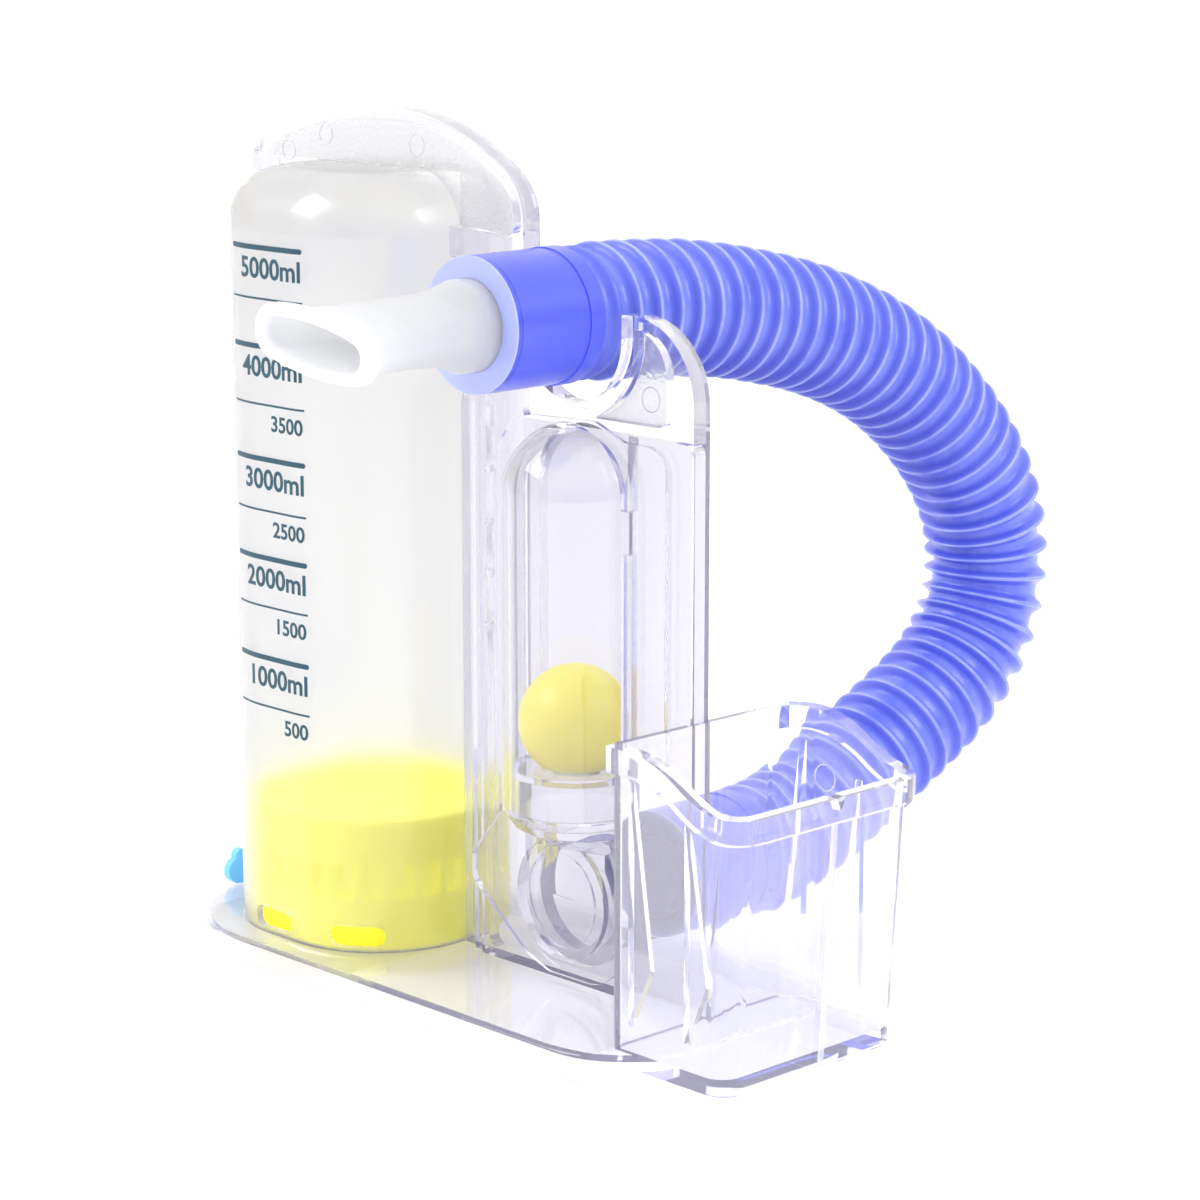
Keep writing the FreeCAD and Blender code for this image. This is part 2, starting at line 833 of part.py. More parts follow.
def hose():
    path = hose_path()
    first = Vector(tube_x, *hose_route[0])
    toward = Vector(tube_x, *hose_route[1]) - first
    outside = Part.Wire(Part.Circle(first, toward, hose_radius).toShape())
    inside = Part.Wire(Part.Circle(first, toward, hose_bore).toShape())
    tube = path.makePipeShell([outside], True, False).cut(path.makePipeShell([inside], True, False))
    section = math.pi * (hose_radius ** 2 - hose_bore ** 2)
    print("hose length", round(path.Length, 1))
    print("hose volume over section times length", round(tube.Volume / section / path.Length, 4))
    return tube


def cuff(bore, socket_bore, height, front):
    """Moulded cuff along Y, plain at its free end and stepped where the hose starts."""
    plain = rod_y(cuff_radius, tube_x, height, 0.0, cuff_length - cuff_step_length)
    step = rod_y(cuff_radius + cuff_step, tube_x, height, cuff_length - cuff_step_length, cuff_length)
    socket = rod_y(socket_bore, tube_x, height, -1.0, cuff_socket)
    through = rod_y(bore, tube_x, height, 0.0, cuff_length + overrun)
    shape = plain.fuse(step).cut([socket, through])
    shape.translate(Vector(0, front, 0))
    return shape


def oval_section(y, half_width, half_height, end_radius):
    """Closed oval across the mouthpiece: crowned top and bottom, and two round ends."""
    short = half_height - end_radius
    centre = half_width - end_radius
    crown_radius = (centre ** 2 + half_height ** 2 - end_radius ** 2) / (2.0 * short)
    angle = math.atan2(crown_radius - half_height, centre)
    touch_across = centre + end_radius * math.cos(angle)
    touch_up = end_radius * math.sin(angle)
    corners = [(touch_across, touch_up), (-touch_across, touch_up)]
    corners += [(-touch_across, -touch_up), (touch_across, -touch_up)]
    middles = [(0.0, half_height), (-half_width, 0.0), (0.0, -half_height), (half_width, 0.0)]
    return four_arcs(y, corners, middles)


def round_section(y, radius):
    """Circle across the mouthpiece, in the same four arcs as an oval."""
    diagonal = radius * math.sqrt(0.5)
    corners = [(diagonal, diagonal), (-diagonal, diagonal), (-diagonal, -diagonal), (diagonal, -diagonal)]
    middles = [(0.0, radius), (-radius, 0.0), (0.0, -radius), (radius, 0.0)]
    return four_arcs(y, corners, middles)


def four_arcs(y, corners, middles):
    """Wire of four arcs through pairs of neighbouring corners and the points between them."""
    placed = [Vector(tube_x + x, y, hose_axis_height + z) for x, z in corners]
    edges = []
    for index, middle in enumerate(middles):
        start = placed[index]
        end = placed[(index + 1) % len(placed)]
        halfway = Vector(tube_x + middle[0], y, hose_axis_height + middle[1])
        edges.append(Part.Arc(start, halfway, end).toShape())
    return Part.Wire(edges)


def mouth_duct(shrink, overrun_end):
    """Loft from the round collar to the flat bite end."""
    collar_y = mouth_cuff_front - mouth_collar
    throat_y = mouth_cuff_front - mouth_throat_reach
    end_y = mouth_cuff_front - mouth_reach
    middle_y = (throat_y + end_y) / 2.0
    collar = mouth_plug_radius - shrink - mouth_plug_clearance
    middle_width = (mouth_throat_half_width + mouth_half_width) / 2.0 - shrink
    middle_height = mouth_half_height + mouth_middle_rise - shrink
    sections = [
        round_section(collar_y + mouth_overlap, collar),
        round_section(collar_y, collar),
        oval_section(throat_y, mouth_throat_half_width - shrink, mouth_throat_half_height - shrink,
                     mouth_throat_end_radius - shrink),
        oval_section(middle_y, middle_width, middle_height, mouth_end_radius - shrink),
        oval_section(end_y - overrun_end, mouth_half_width - shrink, mouth_half_height - shrink,
                     mouth_end_radius - shrink),
    ]
    return Part.makeLoft(sections, True, True)


def mouthpiece():
    """Round plug, flattened duct and a rolled lip at the bite end, turned a little in the cuff."""
    plug_back = mouth_cuff_front + mouth_plug_length
    collar_y = mouth_cuff_front - mouth_collar
    end_y = mouth_cuff_front - mouth_reach
    plug = rod_y(mouth_plug_radius, tube_x, hose_axis_height, collar_y, plug_back)
    bore_radius = mouth_plug_radius - mouth_wall
    bore = rod_y(bore_radius, tube_x, hose_axis_height, collar_y + mouth_overlap / 2.0, plug_back + overrun)
    lip_outline = (
        mouth_half_width + mouth_lip_proud,
        mouth_half_height + mouth_lip_proud,
        mouth_end_radius + mouth_lip_proud,
    )
    lip = Part.makeLoft(
        [oval_section(end_y, *lip_outline), oval_section(end_y + mouth_lip_length, *lip_outline)],
        True,
        True,
    )
    ends = [edge for edge in lip.Edges if edge.BoundBox.YLength < mouth_lip_round]
    lip = lip.makeFillet(mouth_lip_round, ends)
    outside = plug.fuse(mouth_duct(0.0, 0.0)).fuse(lip)
    shape = outside.cut(bore).cut(mouth_duct(mouth_wall, mouth_overlap))
    shape.rotate(Vector(tube_x, 0, hose_axis_height), Vector(0, 1, 0), mouth_roll)
    return shape


def split(shape, front):
    """The half of a body on one side of the seam plane."""
    if front:
        return shape.common(block((-far, -far, -far), (far, 0, far)))
    return shape.common(block((-far, 0, -far), (far, far, far)))


def largest_solid(shape):
    return max(shape.Solids, key=lambda solid: solid.Volume)


def save(shape, name):
    solid = largest_solid(shape)
    print(name, "solids", len(shape.Solids), "valid", solid.isValid(), "volume", round(solid.Volume, 1))
    solid.exportStep("parts/" + name + ".step")


def main():
    os.makedirs("parts", exist_ok=True)
    body = housing()
    save(split(body, True), "front_shell")
    save(split(body, False), "rear_shell")
    save(piston(), "piston")
    save(flow_ball(), "flow_ball")
    save(ball_seat(), "ball_seat")
    save(goal_pointer(), "goal_pointer")
    save(hose(), "hose")
    socket = mouth_plug_radius + mouth_plug_clearance
    save(cuff(cuff_bore, socket, hose_axis_height, mouth_cuff_front), "mouth_cuff")
    port_socket = port_radius + cuff_bore_clearance
    port_cuff_front = hose_route[0][0] - cuff_length
    save(cuff(cuff_bore, port_socket, port_height, port_cuff_front), "port_cuff")
    save(mouthpiece(), "mouthpiece")


main()
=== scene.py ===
# %% [markdown]
# # A volumetric incentive spirometer
# The object stands about 21 cm tall: a clear housing with a yellow piston in its
# chamber and a yellow ball in its flow tube, a blue corrugated hose that comes
# round from the back to a cradle in front, and a white mouthpiece. The rigid
# pieces come from the CAD model as they are. This script gives every surface its
# finish, and makes what CAD leaves plain: the corrugations, the printed scale and
# the small marks that moulding leaves.

import math

import bpy
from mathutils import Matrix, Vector


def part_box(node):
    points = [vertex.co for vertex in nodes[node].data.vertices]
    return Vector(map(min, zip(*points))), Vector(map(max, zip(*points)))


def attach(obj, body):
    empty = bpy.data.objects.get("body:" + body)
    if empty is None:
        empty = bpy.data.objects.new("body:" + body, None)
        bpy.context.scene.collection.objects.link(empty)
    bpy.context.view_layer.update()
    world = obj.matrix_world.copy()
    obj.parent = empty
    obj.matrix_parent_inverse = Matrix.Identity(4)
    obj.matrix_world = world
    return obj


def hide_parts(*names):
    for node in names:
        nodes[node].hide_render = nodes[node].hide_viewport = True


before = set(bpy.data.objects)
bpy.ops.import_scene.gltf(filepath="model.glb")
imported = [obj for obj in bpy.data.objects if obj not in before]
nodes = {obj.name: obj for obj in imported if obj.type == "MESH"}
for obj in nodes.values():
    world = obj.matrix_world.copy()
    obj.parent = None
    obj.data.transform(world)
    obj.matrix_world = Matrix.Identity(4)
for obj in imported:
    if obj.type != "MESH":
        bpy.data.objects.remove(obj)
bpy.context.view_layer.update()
MM = 0.001

# %% [markdown]
# ## Camera
# A product photographer stands back and uses a long lens, so that upright edges
# stay upright. A 102 mm lens on a 36 mm sensor does that. The place and the
# direction are the ones from which the photograph was taken: right of the front,
# and a little above the cradle.

# %% Place the camera
camera_place = Vector((0.5765, -0.5321, 0.2621))
camera_aim = Vector((-0.7036, 0.6795, -0.2079))
LENS = 102.0
SENSOR = 36.0

camera = bpy.data.objects.new("camera", bpy.data.cameras.new("camera"))
camera.data.lens = LENS
camera.data.sensor_width = SENSOR
camera.data.clip_start = 0.02
camera.data.clip_end = 50.0
camera.location = camera_place
camera.rotation_mode = "QUATERNION"
camera.rotation_quaternion = camera_aim.to_track_quat("-Z", "Y")
bpy.context.scene.collection.objects.link(camera)
bpy.context.scene.camera = camera
print("camera is", round(camera_place.length, 3), "m from the middle of the base")

# %% [markdown]
# ## Small helpers
# Colours are picked as sRGB hex values, as on a screen, and Blender wants them
# linear, so one function turns them. Another adds a shader node with its settings
# and its links in one line, so that a material reads from top to bottom.


# %% Turn a hex colour to linear, and add a node
def linear(hex_code, alpha=1.0):
    """An sRGB hex value such as 5A6CF0 as a linear colour."""
    parts = [int(hex_code[i : i + 2], 16) / 255.0 for i in (0, 2, 4)]
    return (*[p / 12.92 if p <= 0.04045 else ((p + 0.055) / 1.055) ** 2.4 for p in parts], alpha)


def add(tree, kind, inputs=None, links=None, **settings):
    """A node of that kind. Inputs are values by socket, and links are sockets that feed it."""
    node = tree.nodes.new(kind)
    for name, value in settings.items():
        setattr(node, name, value)
    for socket, value in (inputs or {}).items():
        node.inputs[socket].default_value = value
    for socket, source in (links or {}).items():
        tree.links.new(source, node.inputs[socket])
    return node


def new_material(name):
    """An empty material and its node tree."""
    material = bpy.data.materials.new(name)
    material.use_nodes = True
    material.node_tree.nodes.clear()
    return material, material.node_tree


def finish_with(node, material):
    """Use a shader node's first output as the material's surface."""
    output = material.node_tree.nodes.new("ShaderNodeOutputMaterial")
    material.node_tree.links.new(node.outputs[0], output.inputs["Surface"])
    return material


def grain(tree, size_mm, strength, distance_mm, detail=2.0):
    """A bump from noise whose bumps are about size_mm across, on the object's own coordinates."""
    place = add(tree, "ShaderNodeTexCoord")
    noise = add(
        tree,
        "ShaderNodeTexNoise",
        {"Scale": 1.0 / (size_mm * MM), "Detail": detail, "Roughness": 0.5},
        {"Vector": place.outputs["Object"]},
    )
    return add(
        tree,
        "ShaderNodeBump",
        {"Strength": strength, "Distance": distance_mm * MM},
        {"Height": noise.outputs["Fac"]},
    )


def mesh_piece(name, vertices, faces, body, smooth=True):
    """A mesh object that moves with a CAD body."""
    mesh = bpy.data.meshes.new(name)
    mesh.from_pydata(vertices, [], faces)
    mesh.validate()
    mesh.polygons.foreach_set("use_smooth", [smooth] * len(mesh.polygons))
    piece = bpy.data.objects.new(name, mesh)
    bpy.context.scene.collection.objects.link(piece)
    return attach(piece, body)


print("helpers are ready; hose blue is", [round(c, 3) for c in linear("5A6CF0")[:3]])

# %% [markdown]
# ## The route of the hose
# A breathing hose is stiff across and soft along, so it makes one wide arc from
# the port at the back to the cradle. The points below are the ones the CAD hose
# turns at. As control points of a quadratic NURBS spline they give one smooth
# line, without the straight runs and arcs that would look like bent wire. The
# spline is read back as a line of points, and everything on the hose follows it.

# %% Draw the route as a NURBS spline and read it back
ROUTE_STEPS = 72
QUADRATIC = 3

hose_side = 21.5
hose_route = (
    (48.4, 28.4),
    (62.6, 28.4),
    (83.8, 36.8),
    (109.7, 48.3),
    (130.1, 59.1),
    (141.5, 73.4),
    (144.5, 91.5),
    (139.2, 108.2),
    (126.9, 124.5),
    (105.8, 141.9),
    (78.9, 154.2),
    (47.4, 161.8),
    (17.9, 165.7),
    (-9.3, 165.7),
)


def read_route(points, steps):
    """The points of a quadratic NURBS spline through the route's control points."""
    curve = bpy.data.curves.new("hose_route", "CURVE")
    curve.dimensions = "3D"
    spline = curve.splines.new("NURBS")
    spline.points.add(len(points) - 1)
    for point, (y, z) in zip(spline.points, points):
        point.co = (hose_side * MM, y * MM, z * MM, 1.0)
    spline.order_u = QUADRATIC
    spline.use_endpoint_u = True
    spline.resolution_u = steps
    holder = bpy.data.objects.new("hose_route", curve)
    mesh = bpy.data.meshes.new_from_object(holder)
    line = [v.co.copy() for v in mesh.vertices]
    bpy.data.meshes.remove(mesh)
    bpy.data.objects.remove(holder)
    bpy.data.curves.remove(curve)
    return line


hose_line = read_route(hose_route, ROUTE_STEPS)
hose_length = sum((b - a).length for a, b in zip(hose_line, hose_line[1:]))
print("hose follows", len(hose_line), "points over", round(hose_length / MM, 1), "mm")

# %% [markdown]
# ## The corrugations
# The hose is blown from EVA in a chain of moulds, so its ribs are rings and not a
# spiral: narrow rounded crests 6.6 mm apart with wide valleys between. Sweeping one
# circle along the line with a radius that rises at each crest makes them as real
# geometry. The mould's parting line leaves a fine ridge in the valleys, on the
# outer side of the bend. How far each point is up its rib is kept as an
# attribute, which the material uses to paint highlights and shade onto the ribs.


# %% Sweep the corrugated wall
RIB_PITCH = 6.6
CREST_RADIUS = 16.0
VALLEY_RADIUS = 13.6
CREST_POWER = 2.4
END_PLAIN = 2.4
HOSE_WALL = 0.9
AROUND = 72
PARTING_ANGLE = math.pi * 1.5
PARTING_RISE = 0.25
PARTING_HALF = 0.7


def rib_height(along):
    """How far up its rib the wall is at a distance along the hose, from 0 to 1."""
    edge = min(along, hose_length / MM - along)
    ease = min(1.0, max(0.0, (edge - END_PLAIN) / RIB_PITCH * 2.0))
    wave = 0.5 - 0.5 * math.cos(2.0 * math.pi * (along - END_PLAIN) / RIB_PITCH)
    return ease * wave ** CREST_POWER


def corrugated_rings(line, shrink):
    """Rings of points round the line, with the rib height of each ring."""
    rings, heights, along = [], [], 0.0
    for index, centre in enumerate(line):
        before = line[max(index - 1, 0)]
        after = line[min(index + 1, len(line) - 1)]
        along += (centre - before).length / MM
        ahead = (after - before).normalized()
        side = Vector((1.0, 0.0, 0.0))
        up = side.cross(ahead).normalized()
        height = rib_height(along)
        radius = VALLEY_RADIUS + (CREST_RADIUS - VALLEY_RADIUS) * height - shrink
        ring = []
        for step in range(AROUND):
            angle = 2.0 * math.pi * step / AROUND
            off_ridge = (angle - PARTING_ANGLE) * radius / PARTING_HALF
            ridge = PARTING_RISE * math.exp(-(off_ridge ** 2)) * (1.0 - height)
            reach = (radius + (ridge if shrink == 0.0 else 0.0)) * MM
            ring.append(centre + (side * math.cos(angle) + up * math.sin(angle)) * reach)
        rings.append(ring)
        heights.append(height)
    return rings, heights


def tube_between(outer, inner):
    """Vertices and faces of a wall between two sets of rings, closed at both ends."""
    vertices = [p for ring in outer + inner for p in ring]
    count, shift = len(outer), len(outer) * AROUND
    faces = []
    for i in range(count - 1):
        for j in range(AROUND):
            k = (j + 1) % AROUND
            a, b, c, d = i * AROUND + j, i * AROUND + k, (i + 1) * AROUND + k, (i + 1) * AROUND + j
            faces.append((a, d, c, b))
            faces.append((a + shift, b + shift, c + shift, d + shift))
    last = (count - 1) * AROUND
    for j in range(AROUND):
        k = (j + 1) % AROUND
        faces.append((j, k, k + shift, j + shift))
        faces.append((last + k, last + j, last + j + shift, last + k + shift))
    return vertices, faces


outer_rings, outer_heights = corrugated_rings(hose_line, 0.0)
inner_rings, inner_heights = corrugated_rings(hose_line, HOSE_WALL)
hose = mesh_piece("corrugated_hose", *tube_between(outer_rings, inner_rings), "housing")
crest = hose.data.attributes.new("crest", "FLOAT", "POINT")
point_heights = [height for height in outer_heights + inner_heights for _ in range(AROUND)]
crest.data.foreach_set("value", point_heights)
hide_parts("hose")
print("hose has", len(hose.data.polygons), "faces and", round(hose_length / MM / RIB_PITCH), "ribs")

# %% [markdown]
# ## EVA, for the hose and its cuffs
# EVA is a soft, slightly cloudy plastic. Its skin is satin and it lets some light
# through. A ramp over the rib height paints light and shade onto the ribs: the
# wide valleys are bright, the steep sides of a rib get a painted deep blue shade,
# where the dye would show deeper with the wall seen edge on, and the thin tip gets
# a pale painted highlight. Subsurface scattering of a few millimetres adds the
# glow. Soft clouds of a deeper blue, about 1 cm across, keep the hose from looking
# all alike.

# %% Make the EVA of the hose
# Painted light: bright valleys, painted shade on the rib sides and a painted highlight at the crest
# tips.
RIB_LIGHT_AND_SHADE_TONES = (
    (0.0, "7C8CFF"),
    (0.1, "7080FF"),
    (0.42, "5F6EF0"),
    (0.8, "7482F6"),
    (0.93, "B4BDFF"),
    (1.0, "8F9CFF"),
)


def tones(tree, stops, source):
    """A colour ramp with a stop for each place and hex colour."""
    ramp = add(tree, "ShaderNodeValToRGB", links={"Fac": source})
    elements = ramp.color_ramp.elements
    elements.remove(elements[1])
    elements[0].position = stops[0][0]
    elements[0].color = linear(stops[0][1])
    for place, hex_code in stops[1:]:
        elements.new(place).color = linear(hex_code)
    return ramp.outputs["Color"]


def soft_eva(material, tree, colour):
    """Dyed EVA with a satin skin, over a colour that varies."""
    skin = grain(tree, size_mm=0.8, strength=0.06, distance_mm=0.05)
    shader = add(
        tree,
        "ShaderNodeBsdfPrincipled",
        {
            "Roughness": 0.3,
            "IOR": 1.49,
            "Subsurface Weight": 0.35,
            "Subsurface Radius": (0.4, 0.5, 1.0),
            "Subsurface Scale": 3.0 * MM,
            "Transmission Weight": 0.12,
            "Coat Weight": 0.35,
            "Coat Roughness": 0.12,
        },
        {"Base Color": colour, "Normal": skin.outputs["Normal"]},
    )
    return finish_with(shader, material)


CLOUD_SIZE = 11.0
CLOUD_TONE = "5766EE"
CLOUD_EDGE = (0.45, 0.72)
CLOUD_DEPTH = 0.55


def clouded(tree, colour):
    """The colour with soft deeper clouds, where the far wall shows through."""
    place = add(tree, "ShaderNodeTexCoord")
    noise = add(
        tree,
        "ShaderNodeTexNoise",
        {"Scale": 1.0 / (CLOUD_SIZE * MM), "Detail": 3.0, "Roughness": 0.6},
        {"Vector": place.outputs["Object"]},
    )
    depth = add(
        tree,
        "ShaderNodeMapRange",
        {"From Min": CLOUD_EDGE[0], "From Max": CLOUD_EDGE[1], "To Min": 0.0, "To Max": CLOUD_DEPTH},
        {"Value": noise.outputs["Fac"]},
        interpolation_type="SMOOTHSTEP",
    )
    mix = add(
        tree,
        "ShaderNodeMix",
        {7: linear(CLOUD_TONE)},
        {0: depth.outputs["Result"], 6: colour},
        data_type="RGBA",
    )
    return mix.outputs[2]


hose_eva, hose_tree = new_material("eva_hose_blue")
# The ramp paints highlights on the crest tips and shade on the rib sides.
rib = add(hose_tree, "ShaderNodeAttribute", attribute_name="crest")
rib_painted_light = tones(hose_tree, RIB_LIGHT_AND_SHADE_TONES, rib.outputs["Fac"])
hose.data.materials.append(soft_eva(hose_eva, hose_tree, clouded(hose_tree, rib_painted_light)))
print("hose material:", hose.data.materials[0].name)

# %% [markdown]
# ## The cuffs
# Each end of the hose is a thick moulded cuff of the same EVA. A ramp of tones
# along the axis of the cuff paints light and shade near its flat end: the end is
# painted pale with a painted highlight on its rim, and just behind it, where the
# wall is seen edge on, a painted band of shade.


# %% Make the EVA of the cuffs
# Painted light: a pale end, a painted highlight at the rim and a painted band of shade behind it.
CUFF_LIGHT_AND_SHADE_TONES = (
    (0.0, "B4BDFF"),
    (0.04, "DDE2FF"),
    (0.12, "7F8CFF"),
    (0.2, "4E5EEC"),
    (0.5, "4858E6"),
    (0.62, "3341CC"),
    (0.74, "5767F2"),
    (1.0, "5464F2"),
)
FACE_BAND = 2.6


def ramp_along(tree, axis, start_mm, end_mm, smooth="SMOOTHSTEP"):
    """0 before start and 1 after end, along one axis of the object's own coordinates."""
    place = add(tree, "ShaderNodeTexCoord")
    split = add(tree, "ShaderNodeSeparateXYZ", links={"Vector": place.outputs["Object"]})
    return add(
        tree,
        "ShaderNodeMapRange",
        {"From Min": start_mm * MM, "From Max": end_mm * MM, "To Min": 0.0, "To Max": 1.0},
        {"Value": split.outputs[axis]},
        interpolation_type=smooth,
    ).outputs["Result"]


def cuff_eva(name, end_mm):
    """Dyed EVA with light and shade painted near the free end of a cuff: a pale end, a highlight on the
    rim and a band of shade.
    """
    material, tree = new_material(name)
    ramp = ramp_along(tree, "Y", end_mm, end_mm + FACE_BAND, "LINEAR")
    return soft_eva(material, tree, tones(tree, CUFF_LIGHT_AND_SHADE_TONES, ramp))


def dress(node, material):
    """Give a CAD node one material in all its slots."""
    piece = nodes[node]
    piece.data.materials.clear()
    piece.data.materials.append(material)
    return piece


for cuff in ("mouth_cuff", "port_cuff"):
    dress(cuff, cuff_eva(f"eva_{cuff}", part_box(cuff)[0][1] / MM))
print("cuffs:", [nodes[cuff].data.materials[0].name for cuff in ("mouth_cuff", "port_cuff")])

# %% [markdown]
# ## Clear polystyrene
# The housing is two mouldings of clear polystyrene, IOR 1.59, which a polished
# mould leaves glossy. Its walls are modelled, so they bend and reflect light by
# themselves. With the full index every edge would trap light and turn black, as
# thick glass does. The walls of the real thing are thin and a little cloudy, so
# the body gets an index of 1.22, a clear coat of 1.59 gives the gloss, and a faint
# lavender glow stands for the light that the edges gather. Light from a lamp can't
# find its way through refracting walls in a path tracer, so for shadow rays the
# material is plainly transparent, as thin clear walls nearly are. The same holds
# for a ray that has passed four faces, or it would be lost between the walls.

# %% Name the zones of the housing's finish
# Places and sizes are in mm, on the housing's own coordinates.
CHAMBER_SIDES = (-86.0, -20.0)
CHAMBER_HEIGHTS = (7.4, 194.5)
ZONE_EDGE = 0.6
WEB_FACE = -1.8
WEB_FOOT = 141.0
SEAM_HALF = 0.03
PEBBLE = 1.0
CLEAR_BLUR = 0.04
FROST_BLUR = 0.37
WEB_BLUR = 0.25
CLEAR_HAZE = 0.045
FROST_HAZE = 0.015
WEB_HAZE = 0.3
GALLERY = (-9.1, 58.6, 9.2, 139.5)
DUCT = (-9.1, 3.6, 139.5, 177.0)
BIN_START = 61.0
PLATE_TINT = "E0DFE2"
BIN_TINT = "F4F3F9"
WEB_TINT = "D4D4D2"
FROST_TINT = "E3E3DF"
BODY_IOR = 1.22
COAT_IOR = 1.59
DEEP_RAY = 3.5
PASSED_LIGHT = 0.96
# Painted light: a faint lavender emission over the whole housing, standing for the light its edges
# gather.
PAINTED_EDGE_GLOW = "9E9CD6"
PAINTED_EDGE_GLOW_STRENGTH = 0.05


def lets_lamps_through(tree, shader):
    """The shader, with plain transparency for shadow rays and for rays trapped in the walls."""
    path = add(tree, "ShaderNodeLightPath")
    trapped = add(
        tree,
        "ShaderNodeMath",
        {1: DEEP_RAY},
        {0: path.outputs["Transmission Depth"]},
        operation="GREATER_THAN",
    )
    passes = add(
        tree,
        "ShaderNodeMath",
        links={0: path.outputs["Is Shadow Ray"], 1: trapped.outputs[0]},
        operation="MAXIMUM",
    )
    passed = (PASSED_LIGHT, PASSED_LIGHT, PASSED_LIGHT, 1.0)
    open_air = add(tree, "ShaderNodeBsdfTransparent", {"Color": passed})
    return add(
        tree,
        "ShaderNodeMixShader",
        links={0: passes.outputs[0], 1: shader.outputs[0], 2: open_air.outputs[0]},
    )


def product(tree, sockets):
    """All the masks multiplied."""
    total = sockets[0]
    for socket in sockets[1:]:
        total = add(tree, "ShaderNodeMath", links={0: total, 1: socket}, operation="MULTIPLY").outputs[0]
    return total


def weighted(tree, start, terms):
    """A start value plus each mask times its share."""
    total = add(tree, "ShaderNodeValue")
    total.outputs[0].default_value = start
    total = total.outputs[0]
    for mask, share in terms:
        step = add(tree, "ShaderNodeMath", {1: share}, {0: mask, 2: total}, operation="MULTIPLY_ADD")
        total = step.outputs[0]
    return total


def near_plane(tree, axis, place_mm, reach_mm):
    """1 within a reach of a plane across one axis of the object's own coordinates."""
    place = add(tree, "ShaderNodeTexCoord")
    split = add(tree, "ShaderNodeSeparateXYZ", links={"Vector": place.outputs["Object"]})
    return add(
        tree,
        "ShaderNodeMath",
        {1: place_mm * MM, 2: reach_mm * MM},
        {0: split.outputs[axis]},
        operation="COMPARE",
    ).outputs[0]


def between(tree, box):
    """1 inside a box of (left, right, low, high) seen from the front."""
    left, right, low, high = box
    across = near_plane(tree, "X", (left + right) / 2.0, (right - left) / 2.0)
    up = near_plane(tree, "Z", (low + high) / 2.0, (high - low) / 2.0)
    return product(tree, [across, up])


print("frost lies between x =", CHAMBER_SIDES[0], "and", CHAMBER_SIDES[1], "mm")

# %% [markdown]
# ## Frost, pebbles and weld
# Four zones differ from the polished wall. The mould of the chamber is textured,
# which leaves an even frost. The sunk fields of the arch and of the horn have a
# pebbled texture with bumps of about 1 mm. The bin has a single thin wall, so it
# is tinted less. And the weld between the two halves is closed, so there the two
# faces that meet show nothing at all, apart from those within the outlines of the
# gallery and the duct, which stay. Each zone is a mask over the object's own
# coordinates, and the masks set tint, haze, roughness, bump and, on the weld, an
# alpha of nothing.


# %% Make the polystyrene of the housing
def polystyrene(name):
    """Clear moulded polystyrene with a frosted chamber, pebbled webs and a weld that isn't seen."""
    material, tree = new_material(name)
    (left, right), (low, high) = CHAMBER_SIDES, CHAMBER_HEIGHTS
    frost = product(
        tree,
        [
            ramp_along(tree, "X", left - ZONE_EDGE, left),
            ramp_along(tree, "X", right + ZONE_EDGE, right),
            ramp_along(tree, "Z", low - ZONE_EDGE, low),
            ramp_along(tree, "Z", high + ZONE_EDGE, high),
        ],
    )
    web = product(
        tree,
        [
            near_plane(tree, "Y", WEB_FACE, SEAM_HALF),
            ramp_along(tree, "Z", WEB_FOOT, WEB_FOOT + ZONE_EDGE),
        ],
    )
    seam = near_plane(tree, "Y", 0.0, SEAM_HALF)
    shut = weighted(tree, 1.0, [(between(tree, GALLERY), -1.0), (between(tree, DUCT), -1.0)])
    solid = weighted(tree, 1.0, [(product(tree, [seam, shut]), -1.0)])
    tint = add(tree, "ShaderNodeRGB")
    tint.outputs[0].default_value = linear(PLATE_TINT)
    tint = tint.outputs[0]
    bin_zone = ramp_along(tree, "X", BIN_START - ZONE_EDGE, BIN_START)
    for zone, hex_code in ((bin_zone, BIN_TINT), (web, WEB_TINT), (frost, FROST_TINT)):
        layer = add(tree, "ShaderNodeMix", {7: linear(hex_code)}, {0: zone, 6: tint}, data_type="RGBA")
        tint = layer.outputs[2]
    blur = weighted(tree, CLEAR_BLUR, [(frost, FROST_BLUR - CLEAR_BLUR), (web, WEB_BLUR - CLEAR_BLUR)])
    clearness = weighted(
        tree,
        1.0 - CLEAR_HAZE,
        [(frost, CLEAR_HAZE - FROST_HAZE), (web, -WEB_HAZE)],
    )
    ripple = grain(tree, size_mm=9.0, strength=0.12, distance_mm=0.15, detail=1.0)
    pebbles = grain(tree, size_mm=PEBBLE, strength=0.0, distance_mm=0.25, detail=1.0)
    tree.links.new(ripple.outputs["Normal"], pebbles.inputs["Normal"])
    tree.links.new(web, pebbles.inputs["Strength"])
    shader = add(
        tree,
        "ShaderNodeBsdfPrincipled",
        {
            "IOR": BODY_IOR,
            "Coat Weight": 0.8,
            "Coat Roughness": 0.03,
            "Coat IOR": COAT_IOR,
            # Painted light: the lavender emission.
            "Emission Color": linear(PAINTED_EDGE_GLOW),
            "Emission Strength": PAINTED_EDGE_GLOW_STRENGTH,
        },
        {
            "Base Color": tint,
            "Roughness": blur,
            "Transmission Weight": clearness,
            "Normal": pebbles.outputs["Normal"],
            "Alpha": solid,
        },
    )
    return finish_with(lets_lamps_through(tree, shader), material)


clear_housing = polystyrene("clear_polystyrene_housing")
for shell in ("front_shell", "rear_shell"):
    dress(shell, clear_housing)
dress("ball_seat", clear_housing)
print("clear pieces:", [n for n, o in nodes.items() if o.data.materials[0] == clear_housing])

# %% [markdown]
# ## The marks that moulding leaves
# Pins push a moulding out of its mould, and each leaves a faint ring. They are
# thin ridges less than two tenths of a millimetre high, on the sunk field of the
# arch, on the horn and on the rear wall of the bin. Each mark below has its
# centre and its radius.

